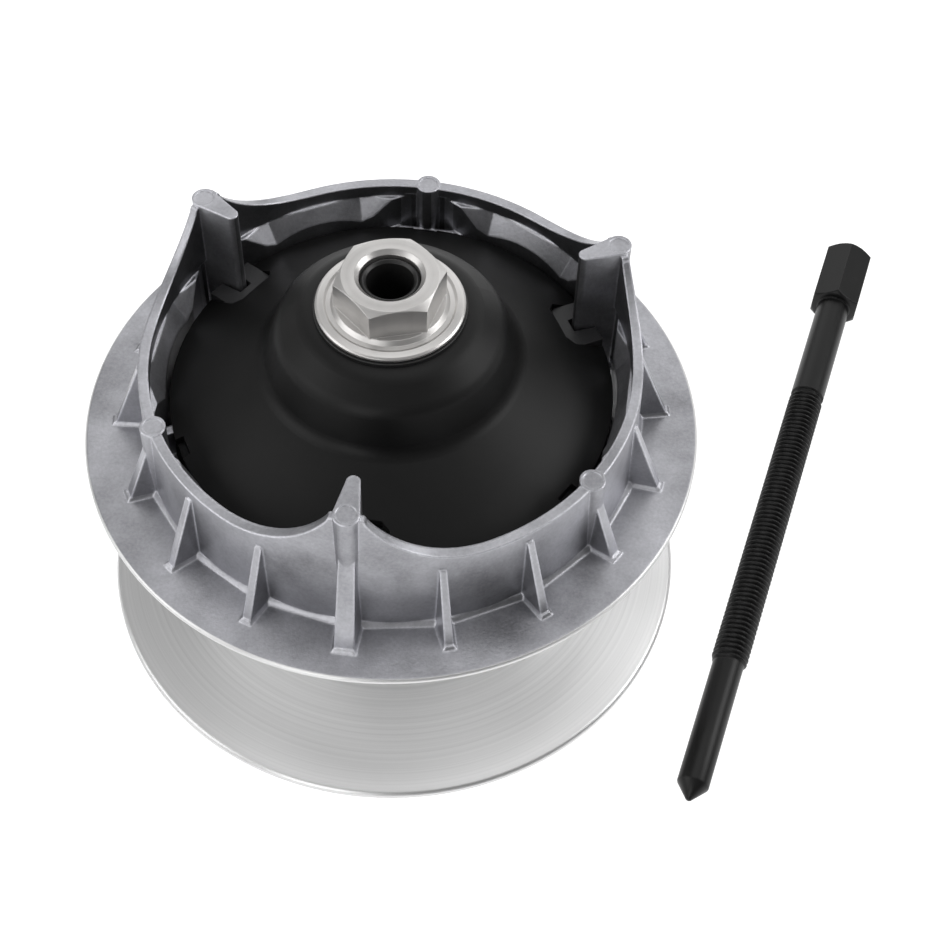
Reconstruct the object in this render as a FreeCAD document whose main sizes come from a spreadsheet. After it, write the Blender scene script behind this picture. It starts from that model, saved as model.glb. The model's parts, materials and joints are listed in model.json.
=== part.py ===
import FreeCAD, Part
import math
import os
import Sketcher
from FreeCAD import Placement, Rotation, Vector

# Drive pulley set of a belt transmission: a centrifugal pulley and its puller bolt.
# The origin lies on the pulley axis in the rear face plane; +Z points to the flange nut.
# Millimetres and degrees throughout.

DIMENSIONS = (
    ("sheave_radius", 100.0),
    ("belt_face_angle", 14.0),
    ("fixed_rim_height", 3.0),
    ("moving_rim_height", 75.4),
    ("flange_height", 77.6),
    ("web_height", 5.0),
    ("hub_radius", 34.0),
    ("shaft_radius", 15.0),
    ("shaft_foot_radius", 19.0),
    ("shoulder_height", 127.7),
    ("stud_radius", 9.4),
    ("stud_top", 143.0),
    ("taper_large_radius", 14.0),
    ("taper_small_radius", 11.5),
    ("taper_length", 40.0),
    ("foot_flange_radius", 30.7),
    ("foot_flange_height", 4.2),
    ("screw_circle", 25.0),
    ("screw_radius", 3.0),
    ("mouth_radius", 7.3),
    ("mouth_depth", 45.0),
    ("puller_core_radius", 5.45),
    ("puller_thread_length", 38.0),
    ("idler_radius", 33.0),
    ("idler_length", 35.5),
    ("sleeve_radius", 25.5),
    ("bearing_radius", 28.0),
    ("sleeve_floor", 3.0),
    ("spring_radius", 20.0),
    ("spring_wire", 4.0),
    ("spring_turns", 5.5),
    ("counterbore_radius", 34.3),
    ("counterbore_height", 88.0),
    ("hub_tube_radius", 21.0),
    ("hub_top", 126.9),
    ("bush_radius", 17.2),
    ("bush_length", 13.0),
    ("skirt_radius", 81.0),
    ("skirt_top", 107.6),
    ("skirt_draft", 2.2),
    ("cavity_flat", 69.4),
    ("cavity_radius", 77.0),
    ("relief_radius", 72.0),
    ("cavity_step", 103.0),
    ("cavity_floor", 68.0),
    ("boss_foot", 72.0),
    ("tower_radius", 77.0),
    ("tower_top", 129.1),
    ("boss_radius", 4.0),
    ("fin_radius", 65.4),
    ("fin_nose", 2.1),
    ("rib_tip", 90.5),
    ("rib_top", 104.0),
    ("rib_crest", 2.2),
    ("rib_root", 5.0),
    ("cap_top", 130.2),
    ("cap_gauge", 2.5),
    ("cap_radius", 71.0),
    ("cap_rim_height", 93.0),
    ("cap_fold_radius", 40.5),
    ("cap_fold_height", 109.5),
    ("roller_radius", 7.0),
    ("roller_length", 11.6),
    ("roller_track", 44.0),
    ("roller_height", 96.2),
    ("pin_radius", 3.0),
    ("ramp_slope", 1.25),
    ("ramp_width", 12.0),
    ("ramp_end", 71.0),
    ("block_width", 18.0),
    ("block_bottom", 80.0),
    ("nut_flats", 30.0),
    ("nut_flange", 23.0),
    ("nut_top", 145.0),
    ("washer_gauge", 1.2),
    ("bolt_thread_radius", 6.35),
    ("bolt_shank_radius", 6.25),
    ("bolt_pilot_radius", 5.4),
    ("bolt_pilot_length", 53.2),
    ("bolt_thread_length", 124.3),
    ("bolt_length", 254.0),
    ("bolt_head_length", 28.5),
    ("bolt_flats", 17.5),
    ("slide_gap", 0.3),
    ("running_gap", 0.05),
    ("tower_azimuth", 24.2),
)

STATIONS = 3
HALF_STEP = 60.0
FULL_TURN = 360.0
RIB_STEP = 20.0
SCREWS = 6
REAR_RIBS = 12


class Size:
    """A number together with the spreadsheet formula that produces it."""

    def __init__(self, value, text):
        self.value = value
        self.text = text

    def __add__(self, other):
        other = sized(other)
        return Size(self.value + other.value, "({} + {})".format(self.text, other.text))

    def __radd__(self, other):
        return sized(other) + self

    def __sub__(self, other):
        other = sized(other)
        return Size(self.value - other.value, "({} - {})".format(self.text, other.text))

    def __rsub__(self, other):
        return sized(other) - self

    def __mul__(self, other):
        other = sized(other)
        return Size(self.value * other.value, "({} * {})".format(self.text, other.text))

    def __rmul__(self, other):
        return sized(other) * self

    def __truediv__(self, other):
        other = sized(other)
        return Size(self.value / other.value, "({} / {})".format(self.text, other.text))

    def __neg__(self):
        return Size(-self.value, "(0 - {})".format(self.text))


def sized(number):
    """Wrap a plain number so that it can join a formula."""
    if isinstance(number, Size):
        return number
    return Size(float(number), "{:.6f}".format(number))


def tangent(angle):
    return Size(math.tan(math.radians(angle.value)), "tan({})".format(angle.text))


def cosine(angle):
    angle = sized(angle)
    return Size(math.cos(math.radians(angle.value)), "cos({})".format(angle.text))


def sine(angle):
    angle = sized(angle)
    return Size(math.sin(math.radians(angle.value)), "sin({})".format(angle.text))


class Dimensions:
    """The driving dimensions, readable by name."""

    def __init__(self, sheet):
        for row, (name, value) in enumerate(DIMENSIONS, start=1):
            sheet.set("A{}".format(row), name)
            sheet.set("B{}".format(row), "{}".format(value))
            sheet.setAlias("B{}".format(row), name)
            setattr(self, name, Size(value, "dimensions.{}".format(name)))


document = FreeCAD.newDocument("drive_pulley_set")
sheet = document.addObject("Spreadsheet::Sheet", "dimensions")
d = Dimensions(sheet)
document.recompute()
exports = []


# ---------------------------------------------------------------- building helpers

def bind(item, name, size):
    """Give a property its value and the formula behind it."""
    size = sized(size)
    setattr(item, name, size.value)
    if "dimensions." in size.text:
        item.setExpression(name, size.text)


def new_body(name, azimuth=0.0):
    """Open a body; the azimuth turns it about the pulley axis."""
    body = document.addObject("PartDesign::Body", name)
    body.Label = name
    body.Placement = Placement(Vector(0, 0, 0), Rotation(Vector(0, 0, 1), azimuth))
    exports.append(body)
    return body


def origin_item(body, role):
    for item in body.Origin.OriginFeatures:
        if item.Role == role:
            return item
    raise ValueError(role)


def new_sketch(body, name, plane, offset=0.0, turn=0.0):
    """Sketch on a base plane, moved along its normal and turned about the pulley axis."""
    sketch = body.newObject("Sketcher::SketchObject", name)
    sketch.AttachmentSupport = [(origin_item(body, plane + "_Plane"), "")]
    sketch.MapMode = "FlatFace"
    offset = sized(offset)
    upright = Vector(0, 0, 1) if plane == "XY" else Vector(0, 1, 0)
    sketch.AttachmentOffset = Placement(Vector(0, 0, offset.value), Rotation(upright, turn))
    if "dimensions." in offset.text:
        sketch.setExpression("AttachmentOffset.Base.z", offset.text)
    return sketch


def pin_point(sketch, edge, corner, point):
    """Tie one end or centre of an edge to its coordinates."""
    for kind, size in zip(("DistanceX", "DistanceY"), point):
        size = sized(size)
        index = sketch.addConstraint(Sketcher.Constraint(kind, -1, 1, edge, corner, size.value))
        if "dimensions." in size.text:
            sketch.setExpression("Constraints[{}]".format(index), size.text)


def plane_point(point):
    return Vector(sized(point[0]).value, sized(point[1]).value, 0)


def arc_between(start, end, radius):
    """Short arc between two points; a positive radius bends the path to the left."""
    chord = end - start
    side = Vector(-chord.y, chord.x, 0).normalize()
    reach = math.sqrt(radius ** 2 - (chord.Length / 2) ** 2)
    centre = start + chord / 2 + side * math.copysign(reach, radius)
    angles = [math.atan2(point.y - centre.y, point.x - centre.x) for point in (start, end)]
    if radius < 0:
        angles.reverse()
    return Part.ArcOfCircle(Part.Circle(centre, Vector(0, 0, 1), abs(radius)), *angles)


def add_outline(sketch, points):
    """Closed outline with tied corners; a third item on a corner is the radius of the next edge."""
    first = sketch.GeometryCount
    total = len(points)
    ends = []
    for index, point in enumerate(points):
        start = plane_point(point)
        end = plane_point(points[(index + 1) % total])
        if len(point) == 3:
            radius = sized(point[2])
            sketch.addGeometry(arc_between(start, end, radius.value), False)
            ends.append((1, 2) if radius.value > 0 else (2, 1))
        else:
            sketch.addGeometry(Part.LineSegment(start, end), False)
            ends.append((1, 2))
    for index, point in enumerate(points):
        edge = first + index
        before = (index - 1) % total
        joined = Sketcher.Constraint("Coincident", first + before, ends[before][1], edge, ends[index][0])
        sketch.addConstraint(joined)
        pin_point(sketch, edge, ends[index][0], point[:2])
        if len(point) == 3:
            sketch.addConstraint(Sketcher.Constraint("Radius", edge, abs(sized(point[2]).value)))


def add_circle(sketch, radius, centre=(0.0, 0.0)):
    """Circle with bound radius and centre."""
    radius = sized(radius)
    shape = Part.Circle(plane_point(centre), Vector(0, 0, 1), radius.value)
    edge = sketch.addGeometry(shape, False)
    index = sketch.addConstraint(Sketcher.Constraint("Radius", edge, radius.value))
    if "dimensions." in radius.text:
        sketch.setExpression("Constraints[{}]".format(index), radius.text)
    pin_point(sketch, edge, 3, centre)


def finish_feature(body, feature, sketch):
    sketch.Visibility = False
    feature.Refine = False
    body.Tip = feature
    return feature


def pad(body, sketch, length, draft=0.0, down=False, both=False):
    feature = body.newObject("PartDesign::Pad", sketch.Name + "Pad")
    feature.Profile = sketch
    bind(feature, "Length", length)
    bind(feature, "TaperAngle", draft)
    feature.Reversed = down
    if both:
        feature.SideType = "Symmetric"
    return finish_feature(body, feature, sketch)


def pocket(body, sketch, length, draft=0.0, up=False, both=False):
    feature = body.newObject("PartDesign::Pocket", sketch.Name + "Cut")
    feature.Profile = sketch
    bind(feature, "Length", length)
    bind(feature, "TaperAngle", draft)
    feature.Reversed = up
    if both:
        feature.SideType = "Symmetric"
    return finish_feature(body, feature, sketch)


def spin(body, sketch, kind="Revolution"):
    """Full turn of a profile about its own upright axis."""
    feature = body.newObject("PartDesign::" + kind, sketch.Name + kind)
    feature.Profile = sketch
    feature.ReferenceAxis = (sketch, ["V_Axis"])
    feature.Angle = FULL_TURN
    return finish_feature(body, feature, sketch)


def repeat(body, features, count):
    """Repeat features evenly round the pulley axis."""
    pattern = body.newObject("PartDesign::PolarPattern", features[0].Name + "Round")
    pattern.Originals = features
    pattern.Axis = (origin_item(body, "Z_Axis"), [""])
    pattern.Angle = FULL_TURN
    pattern.Occurrences = count
    pattern.Refine = False
    body.Tip = pattern
    return pattern


def round_edges(body, bend, place):
    """Fillet the circular edges of the tip that run at one (radius, height) place."""
    document.recompute()
    base = body.Tip
    radius, height = (sized(item).value for item in place)
    names = []
    for index, edge in enumerate(base.Shape.Edges, start=1):
        if not isinstance(edge.Curve, Part.Circle):
            continue
        same_radius = abs(edge.Curve.Radius - radius) < 0.02
        same_height = abs(edge.Curve.Center.z - height) < 0.02
        if same_radius and same_height:
            names.append("Edge{}".format(index))
    if not names:
        raise ValueError("no edge to round on " + body.Label)
    feature = body.newObject("PartDesign::Fillet", base.Name + "Fillet")
    feature.Base = (base, names)
    bind(feature, "Radius", bend)
    body.Tip = feature


def ring_body(name, inner, outer, bottom, top):
    """Plain ring with a rectangular section."""
    body = new_body(name)
    profile = new_sketch(body, name + "_section", "XZ")
    corners = [(inner, bottom), (outer, bottom), (outer, top), (inner, top)]
    add_outline(profile, corners)
    spin(body, profile)
    return body


def polygon(count, radius):
    """Corners of a regular polygon."""
    angles = [FULL_TURN * k / count for k in range(count)]
    return [(radius * cosine(angle), radius * sine(angle)) for angle in angles]


# ---------------------------------------------------------------- shared heights

def fixed_face(radius):
    """Height of the fixed sheave's belt face at a radius."""
    return d.fixed_rim_height + (d.sheave_radius - radius) * tangent(d.belt_face_angle)


def moving_face(radius):
    """Height of the moving sheave's belt face at a radius."""
    return d.moving_rim_height - (d.sheave_radius - radius) * tangent(d.belt_face_angle)


def ramp_face(radius):
    """Height of the sloping roller track at a radius, just clear of the roller."""
    lean = Size(math.hypot(1.0, d.ramp_slope.value), "sqrt(1 + dimensions.ramp_slope ^ 2)")
    clear = (d.roller_radius + d.slide_gap) * lean
    return d.roller_height + clear - (radius - d.roller_track) * d.ramp_slope


def cap_slope():
    return (d.cap_fold_height - d.cap_rim_height) / (d.cap_radius - d.cap_fold_radius)


def cap_under(radius):
    """Height of the cap's underside on its outer disc."""
    drop = d.cap_gauge * 1.14
    return d.cap_fold_height - drop - (radius - d.cap_fold_radius) * cap_slope()


HUB_FACE = fixed_face(d.hub_radius)
IDLER_TOP = HUB_FACE + 1.2 + d.idler_length
SPRING_SEAT = d.counterbore_height - 1.5


# ---------------------------------------------------------------- fixed side

def build_fixed_sheave():
    """Conical disc pressed on the shaft foot, ribbed behind."""
    body = new_body("fixed_sheave")
    rim_inside = d.sheave_radius - 8.0
    recess = d.foot_flange_radius + d.slide_gap
    recess_height = d.foot_flange_height
    profile = new_sketch(body, "fixed_section", "XZ")
    add_outline(profile, [
        (d.sheave_radius, 0.8),
        (d.sheave_radius, d.fixed_rim_height - 0.8),
        (d.sheave_radius - 0.8, d.fixed_rim_height),
        (d.hub_radius, HUB_FACE),
        (d.shaft_foot_radius, HUB_FACE),
        (d.shaft_foot_radius, recess_height),
        (recess, recess_height),
        (recess, 0.0),
        (d.hub_radius + 2.0, 0.0),
        (d.hub_radius + 3.0, fixed_face(d.hub_radius + 3.0) - d.web_height),
        (rim_inside - 1.0, fixed_face(rim_inside - 1.0) - d.web_height),
        (rim_inside, 0.0),
        (d.sheave_radius - 0.8, 0.0),
    ])
    spin(body, profile)
    rib = new_sketch(body, "rear_rib", "XZ")
    rib_inside = d.hub_radius + 1.0
    add_outline(rib, [
        (rib_inside, 1.0),
        (rim_inside + 1.0, 0.6),
        (rim_inside + 1.0, 2.0),
        (rib_inside, fixed_face(rib_inside) - 2.0),
    ])
    repeat(body, [pad(body, rib, 3.6, both=True)], REAR_RIBS)
    hole = new_sketch(body, "screw_hole", "XY", recess_height)
    add_circle(hole, d.screw_radius, (d.screw_circle, 0.0))
    repeat(body, [pocket(body, hole, 10.0, up=True)], SCREWS)


def build_drive_shaft():
    """Hollow steel shaft with a crank taper below and a threaded stud on top."""
    body = new_body("drive_shaft")
    thread_top = d.stud_top - d.mouth_depth - 2.0
    thread_bottom = thread_top - d.puller_thread_length
    profile = new_sketch(body, "shaft_section", "XZ")
    add_outline(profile, [
        (d.taper_large_radius + 0.8, 0.0),
        (d.foot_flange_radius, 0.0),
        (d.foot_flange_radius, d.foot_flange_height),
        (d.shaft_foot_radius, d.foot_flange_height),
        (d.shaft_foot_radius, HUB_FACE),
        (d.shaft_radius, HUB_FACE),
        (d.shaft_radius, d.shoulder_height - 0.6),
        (d.shaft_radius - 0.6, d.shoulder_height),
        (d.stud_radius, d.shoulder_height),
        (d.stud_radius, d.stud_top - 1.0),
        (d.stud_radius - 1.0, d.stud_top),
        (d.mouth_radius + 0.8, d.stud_top),
        (d.mouth_radius, d.stud_top - 0.8),
        (d.mouth_radius, thread_top + 2.0),
        (d.puller_core_radius, thread_top),
        (d.puller_core_radius, thread_bottom),
        (d.mouth_radius, thread_bottom - 2.0),
        (d.mouth_radius, d.taper_length + 3.0),
        (d.taper_small_radius, d.taper_length),
        (d.taper_large_radius, 0.8),
    ])
    spin(body, profile)
    hole = new_sketch(body, "flange_hole", "XY")
    add_circle(hole, d.screw_radius, (d.screw_circle, 0.0))
    repeat(body, [pocket(body, hole, d.foot_flange_height, up=True)], SCREWS)


def build_sheave_screws():
    """Six flush socket screws that clamp the shaft flange to the fixed sheave."""
    body = new_body("sheave_screws")
    body.AllowCompound = True
    socket_radius = 1.9
    shank = new_sketch(body, "screw_shank", "XY")
    add_circle(shank, d.screw_radius, (d.screw_circle, 0.0))
    screw = pad(body, shank, 13.5)
    socket = new_sketch(body, "screw_socket", "XY")
    add_outline(socket, [(d.screw_circle + x, y) for x, y in polygon(6, socket_radius)])
    recess = pocket(body, socket, 2.5, up=True)
    repeat(body, [screw, recess], SCREWS)


def build_idler_sleeve():
    """Steel cup on the shaft that carries the idler bearing and seats the spring."""
    body = new_body("idler_sleeve")
    wall = 2.1
    profile = new_sketch(body, "sleeve_section", "XZ")
    add_outline(profile, [
        (d.shaft_radius, HUB_FACE),
        (d.sleeve_radius, HUB_FACE),
        (d.sleeve_radius, IDLER_TOP),
        (d.sleeve_radius - wall, IDLER_TOP),
        (d.sleeve_radius - wall, HUB_FACE + d.sleeve_floor),
        (d.shaft_radius, HUB_FACE + d.sleeve_floor),
    ])
    spin(body, profile)


def build_idler_ring():
    """Belt idler ring that turns on its bearing between the sheaves."""
    body = new_body("idler_ring")
    profile = new_sketch(body, "idler_section", "XZ")
    bottom = HUB_FACE + 0.6
    top = IDLER_TOP - 0.6
    bore = d.bearing_radius + d.running_gap
    add_outline(profile, [
        (bore, bottom),
        (d.idler_radius - 1.0, bottom),
        (d.idler_radius, bottom + 1.0),
        (d.idler_radius, top - 1.0),
        (d.idler_radius - 1.0, top),
        (bore, top),
    ])
    spin(body, profile)


def build_snap_ring():
    """Open retaining ring above the idler bearing."""
    body = ring_body("idler_snap_ring", d.sleeve_radius, d.bearing_radius, IDLER_TOP - 1.4, IDLER_TOP)
    gap = new_sketch(body, "snap_gap", "XY", IDLER_TOP + 1.0)
    add_outline(gap, [(20.0, -2.0), (30.0, -2.0), (30.0, 2.0), (20.0, 2.0)])
    pocket(body, gap, 4.0)


def build_spring():
    """Compression spring that holds the sheaves apart."""
    body = new_body("clutch_spring")
    bottom = HUB_FACE + d.sleeve_floor + d.spring_wire / 2
    section = new_sketch(body, "spring_wire_section", "XZ")
    add_circle(section, d.spring_wire / 2, (d.spring_radius, bottom))
    helix = body.newObject("PartDesign::AdditiveHelix", "spring_coil")
    helix.Profile = section
    helix.ReferenceAxis = (section, ["V_Axis"])
    helix.Mode = "height-turns-angle"
    bind(helix, "Height", SPRING_SEAT - d.spring_wire / 2 - bottom)
    bind(helix, "Turns", d.spring_turns)
    finish_feature(body, helix, section)


# ---------------------------------------------------------------- moving side

def cavity_outline(flat):
    """Six flats joined by short chords where the flats meet the corner circle."""
    reach = math.degrees(math.acos(flat.value / d.cavity_radius.value))
    corners = []
    for side in range(6):
        middle = 30.0 + 60.0 * side
        for angle in (middle - reach, middle + reach):
            corners.append((d.cavity_radius * cosine(angle), d.cavity_radius * sine(angle)))
    return corners


def add_rib(body, name, turn, tip, top, root, crest):
    """Outer rib that leans on the skirt, narrowing from its root to its crest and top."""
    inside = d.skirt_radius - 2.6
    low = new_sketch(body, name + "_low", "XY", d.flange_height - 0.6, turn)
    add_outline(low, [
        (inside, -root / 2),
        (tip, -crest * 0.65),
        (tip, crest * 0.65),
        (inside, root / 2),
    ])
    high = new_sketch(body, name + "_high", "XY", top, turn)
    outer = d.skirt_radius - 0.9 - (top - d.rib_top) * 0.04
    add_outline(high, [
        (inside, -crest / 2),
        (outer, -crest / 2),
        (outer, crest / 2),
        (inside, crest / 2),
    ])
    loft = body.newObject("PartDesign::AdditiveLoft", name)
    loft.Profile = low
    loft.Sections = [high]
    high.Visibility = False
    finish_feature(body, loft, low)
    foot = new_sketch(body, name + "_foot", "XY", d.flange_height - 0.2, turn)
    add_outline(foot, [
        (inside, -root / 2 - 0.9),
        (tip + 1.0, -crest * 0.65 - 0.9),
        (tip + 1.0, crest * 0.65 + 0.9),
        (inside, root / 2 + 0.9),
    ])
    return [loft, pad(body, foot, 1.2, draft=-40.0)]


def crown_outline():
    """Region above the skirt edge seen from a tower: flat lows and hollow flanks up to the tower."""
    reach = 74.0
    foot = 40.0
    hollow = 40.7
    shoulder = d.tower_top - 2.6
    clear = d.tower_top + 8.0
    return [
        (-reach, clear),
        (-reach, d.skirt_top),
        (-foot, d.skirt_top, hollow),
        (-5.6, shoulder, -2.2),
        (-4.0, d.tower_top - 0.6),
        (4.0, d.tower_top - 0.6, -2.2),
        (5.6, shoulder, hollow),
        (foot, d.skirt_top),
        (reach, d.skirt_top),
        (reach, clear),
    ]


def build_moving_sheave():
    """Sliding sheave with hub, skirt, towers, ribs and block guides in one casting."""
    body = new_body("moving_sheave", d.tower_azimuth.value)
    wall = 4.2
    floor_inside = d.counterbore_radius + wall
    floor_rise = 4.6

    profile = new_sketch(body, "moving_section", "XZ")
    add_outline(profile, [
        (d.counterbore_radius, moving_face(d.counterbore_radius)),
        (d.sheave_radius - 0.6, d.moving_rim_height),
        (d.sheave_radius, d.moving_rim_height + 0.6),
        (d.sheave_radius, d.flange_height - 0.6),
        (d.sheave_radius - 0.6, d.flange_height),
        (d.cavity_radius + 1.0, d.flange_height),
        (d.cavity_radius + 1.0, moving_face(d.cavity_radius + 1.0) + floor_rise),
        (floor_inside, moving_face(floor_inside) + floor_rise),
        (floor_inside, d.counterbore_height + wall - 1.0),
        (floor_inside - 1.0, d.counterbore_height + wall),
        (d.hub_tube_radius + 2.0, d.counterbore_height + wall),
        (d.hub_tube_radius, d.counterbore_height + wall + 4.0),
        (d.hub_tube_radius, d.hub_top),
        (d.bush_radius, d.hub_top),
        (d.bush_radius, d.counterbore_height),
        (d.counterbore_radius, d.counterbore_height),
    ])
    spin(body, profile)

    skirt = new_sketch(body, "skirt", "XY", d.flange_height - 1.0)
    add_circle(skirt, d.skirt_radius - 0.5)
    add_circle(skirt, d.cavity_flat - 1.0)
    pad(body, skirt, d.tower_top - d.flange_height, draft=-d.skirt_draft)

    window = new_sketch(body, "crown", "YZ")
    add_outline(window, crown_outline())
    repeat(body, [pocket(body, window, d.sheave_radius, up=True)], STATIONS)

    opening_height = d.tower_top + 2.0
    upper = new_sketch(body, "upper_cavity", "XY", opening_height)
    add_circle(upper, d.cavity_flat + 6.6)
    pocket(body, upper, opening_height - d.cavity_step)
    lip = new_sketch(body, "cavity_lip", "XY", d.cavity_step)
    add_outline(lip, cavity_outline(d.cavity_flat + 5.8))
    pocket(body, lip, 9.0, draft=-32.0)
    lower = new_sketch(body, "lower_cavity", "XY", d.cavity_step + 1.0)
    add_outline(lower, cavity_outline(d.cavity_flat))
    pocket(body, lower, d.cavity_step + 1.0 - d.cavity_floor)
    relief = new_sketch(body, "relief_bore", "XY", d.cavity_step + 1.0)
    add_circle(relief, d.relief_radius)
    add_circle(relief, d.hub_tube_radius + 16.0)
    pocket(body, relief, d.cavity_step - 7.0 - d.cavity_floor)
    return body


def add_moving_details(body):
    """Ribs, bosses, fins and guide rails of the sliding sheave."""
    foot = new_sketch(body, "skirt_foot", "XY", d.flange_height - 0.2)
    add_outline(foot, polygon(18, d.skirt_radius + 1.9))
    add_circle(foot, d.cavity_radius + 1.0)
    pad(body, foot, 1.7, draft=-42.0)

    near = add_rib(body, "rib_near", RIB_STEP, d.rib_tip, d.rib_top, d.rib_root, d.rib_crest)
    far = add_rib(body, "rib_far", 2 * RIB_STEP, d.rib_tip, d.rib_top, d.rib_root, d.rib_crest)
    repeat(body, near + far, 6)
    broad = add_rib(body, "tower_rib", 0.0, d.rib_tip + 0.5, d.rib_top + 8.0, sized(7.4), sized(4.8))
    repeat(body, broad, STATIONS)
    slim = add_rib(body, "boss_rib", HALF_STEP, d.rib_tip - 1.0, d.rib_top - 3.0,
                   d.rib_root + 0.6, d.rib_crest + 0.8)
    repeat(body, slim, STATIONS)

    fin = new_sketch(body, "fin", "XY", d.boss_foot)
    add_outline(fin, [
        (d.fin_radius, -d.fin_nose),
        (d.tower_radius, -d.boss_radius),
        (d.tower_radius, d.boss_radius),
        (d.fin_radius, d.fin_nose),
    ])
    fin_height = d.tower_top - d.boss_foot
    fin_pad = pad(body, fin, fin_height)
    nose = new_sketch(body, "fin_nose_round", "XY", d.boss_foot)
    add_circle(nose, d.fin_nose, (d.fin_radius, 0.0))
    nose_pad = pad(body, nose, fin_height)
    tower = new_sketch(body, "tower_boss", "XY", d.boss_foot)
    add_circle(tower, d.boss_radius, (d.tower_radius, 0.0))
    tower_pad = pad(body, tower, fin_height)
    repeat(body, [fin_pad, nose_pad, tower_pad], STATIONS)

    boss = new_sketch(body, "small_boss", "XY", d.boss_foot + 2.0)
    centre = d.tower_radius + 0.7
    boss_top = d.skirt_top + 0.2
    add_circle(boss, d.boss_radius, (centre * cosine(HALF_STEP), centre * sine(HALF_STEP)))
    repeat(body, [pad(body, boss, boss_top - d.boss_foot - 2.0)], STATIONS)

    mark = new_sketch(body, "tower_pin_mark", "XY", d.tower_top)
    mark_radius = d.boss_radius - 0.9
    mark_depth = 0.25
    add_circle(mark, mark_radius, (d.tower_radius, 0.0))
    repeat(body, [pocket(body, mark, mark_depth)], STATIONS)
    low_mark = new_sketch(body, "boss_pin_mark", "XY", boss_top)
    add_circle(low_mark, mark_radius, (centre * cosine(HALF_STEP), centre * sine(HALF_STEP)))
    repeat(body, [pocket(body, low_mark, mark_depth)], STATIONS)

    repeat(body, add_guide(body), STATIONS)


def add_guide(body):
    """Radial channel for one flyweight block, with a trench that the ramp's toe enters."""
    inside = d.counterbore_radius + 2.0
    outside = 74.5
    channel_end = outside - 1.0
    trench_start = 62.5
    trench_height = 72.6
    ledge_height = d.block_bottom - d.slide_gap
    rail_height = 90.0
    channel = d.block_width + 2 * d.slide_gap
    rails = new_sketch(body, "guide_rails", "XZ", turn=HALF_STEP)
    add_outline(rails, [
        (inside, moving_face(inside) + 2.0),
        (outside, moving_face(sized(outside)) + 2.0),
        (outside, rail_height),
        (inside, rail_height),
    ])
    rails_pad = pad(body, rails, channel + 6.4, both=True)
    track = new_sketch(body, "block_track", "XZ", turn=HALF_STEP)
    track_start = d.roller_track - 5.0
    add_outline(track, [
        (track_start, ledge_height),
        (channel_end, ledge_height),
        (channel_end, rail_height + 1.0),
        (track_start, rail_height + 1.0),
    ])
    track_cut = pocket(body, track, channel, both=True)
    trench = new_sketch(body, "ramp_trench", "XZ", turn=HALF_STEP)
    add_outline(trench, [
        (trench_start, trench_height),
        (channel_end, trench_height),
        (channel_end, ledge_height + 1.0),
        (trench_start, ledge_height + 1.0),
    ])
    trench_cut = pocket(body, trench, d.ramp_width + 1.6, both=True)
    return [rails_pad, track_cut, trench_cut]


def station_name(base, index):
    return "{}_{}".format(base, index + 1)


def block_azimuth(index):
    return d.tower_azimuth.value + HALF_STEP + index * FULL_TURN / STATIONS


def tower_station(index):
    return d.tower_azimuth.value + index * FULL_TURN / STATIONS


def build_block(index):
    """Sliding flyweight block: a yoke with two cheeks round its roller."""
    body = new_body(station_name("weight_block", index), block_azimuth(index))
    inner_end = d.roller_track - 4.0
    outer_end = d.roller_track + 6.0
    side = new_sketch(body, "cheek_side", "XZ")
    add_outline(side, [
        (inner_end, d.block_bottom),
        (outer_end, d.block_bottom),
        (outer_end, 95.0),
        (d.roller_track + 3.4, 100.6),
        (d.roller_track - 2.6, 102.0),
        (inner_end, 100.0),
    ])
    pad(body, side, d.block_width, both=True)
    trough_floor = d.roller_height - d.roller_radius - 0.9
    above = trough_floor + 16.0
    trough = new_sketch(body, "roller_trough", "XZ")
    add_outline(trough, [
        (inner_end - 1.0, trough_floor),
        (outer_end + 1.0, trough_floor),
        (outer_end + 1.0, above),
        (inner_end - 1.0, above),
    ])
    pocket(body, trough, d.ramp_width + 1.0, both=True)
    bore = new_sketch(body, "pin_bore", "XZ")
    add_circle(bore, d.pin_radius, (d.roller_track, d.roller_height))
    pocket(body, bore, d.block_width + 2.0, both=True)
    step = new_sketch(body, "roller_relief", "XZ")
    add_circle(step, d.roller_radius + 0.9, (d.roller_track, d.roller_height))
    pocket(body, step, d.ramp_width + 1.0, both=True)


def build_roller(index):
    """Hardened roller that climbs the ramp."""
    body = new_body(station_name("roller", index), block_azimuth(index))
    face = new_sketch(body, "roller_face", "XZ")
    centre = (d.roller_track, d.roller_height)
    add_circle(face, d.roller_radius, centre)
    add_circle(face, d.pin_radius + d.running_gap, centre)
    pad(body, face, d.roller_length, both=True)


def build_roller_pin(index):
    """Pin across the block cheeks."""
    body = new_body(station_name("roller_pin", index), block_azimuth(index))
    face = new_sketch(body, "pin_face", "XZ")
    add_circle(face, d.pin_radius, (d.roller_track, d.roller_height))
    pad(body, face, d.block_width, both=True)


def build_ramp(index):
    """Wedge under the cap with the straight track for one roller."""
    body = new_body(station_name("cam_ramp", index), block_azimuth(index))
    start = 49.6
    side = new_sketch(body, "ramp_side", "XZ")
    add_outline(side, [
        (start, ramp_face(sized(start))),
        (d.ramp_end, ramp_face(d.ramp_end)),
        (d.ramp_end + 0.6, ramp_face(d.ramp_end) + 1.0),
        (d.cap_radius - 0.5, cap_under(d.cap_radius - 0.5)),
        (start, cap_under(sized(start))),
    ])
    pad(body, side, d.ramp_width, both=True)


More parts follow.
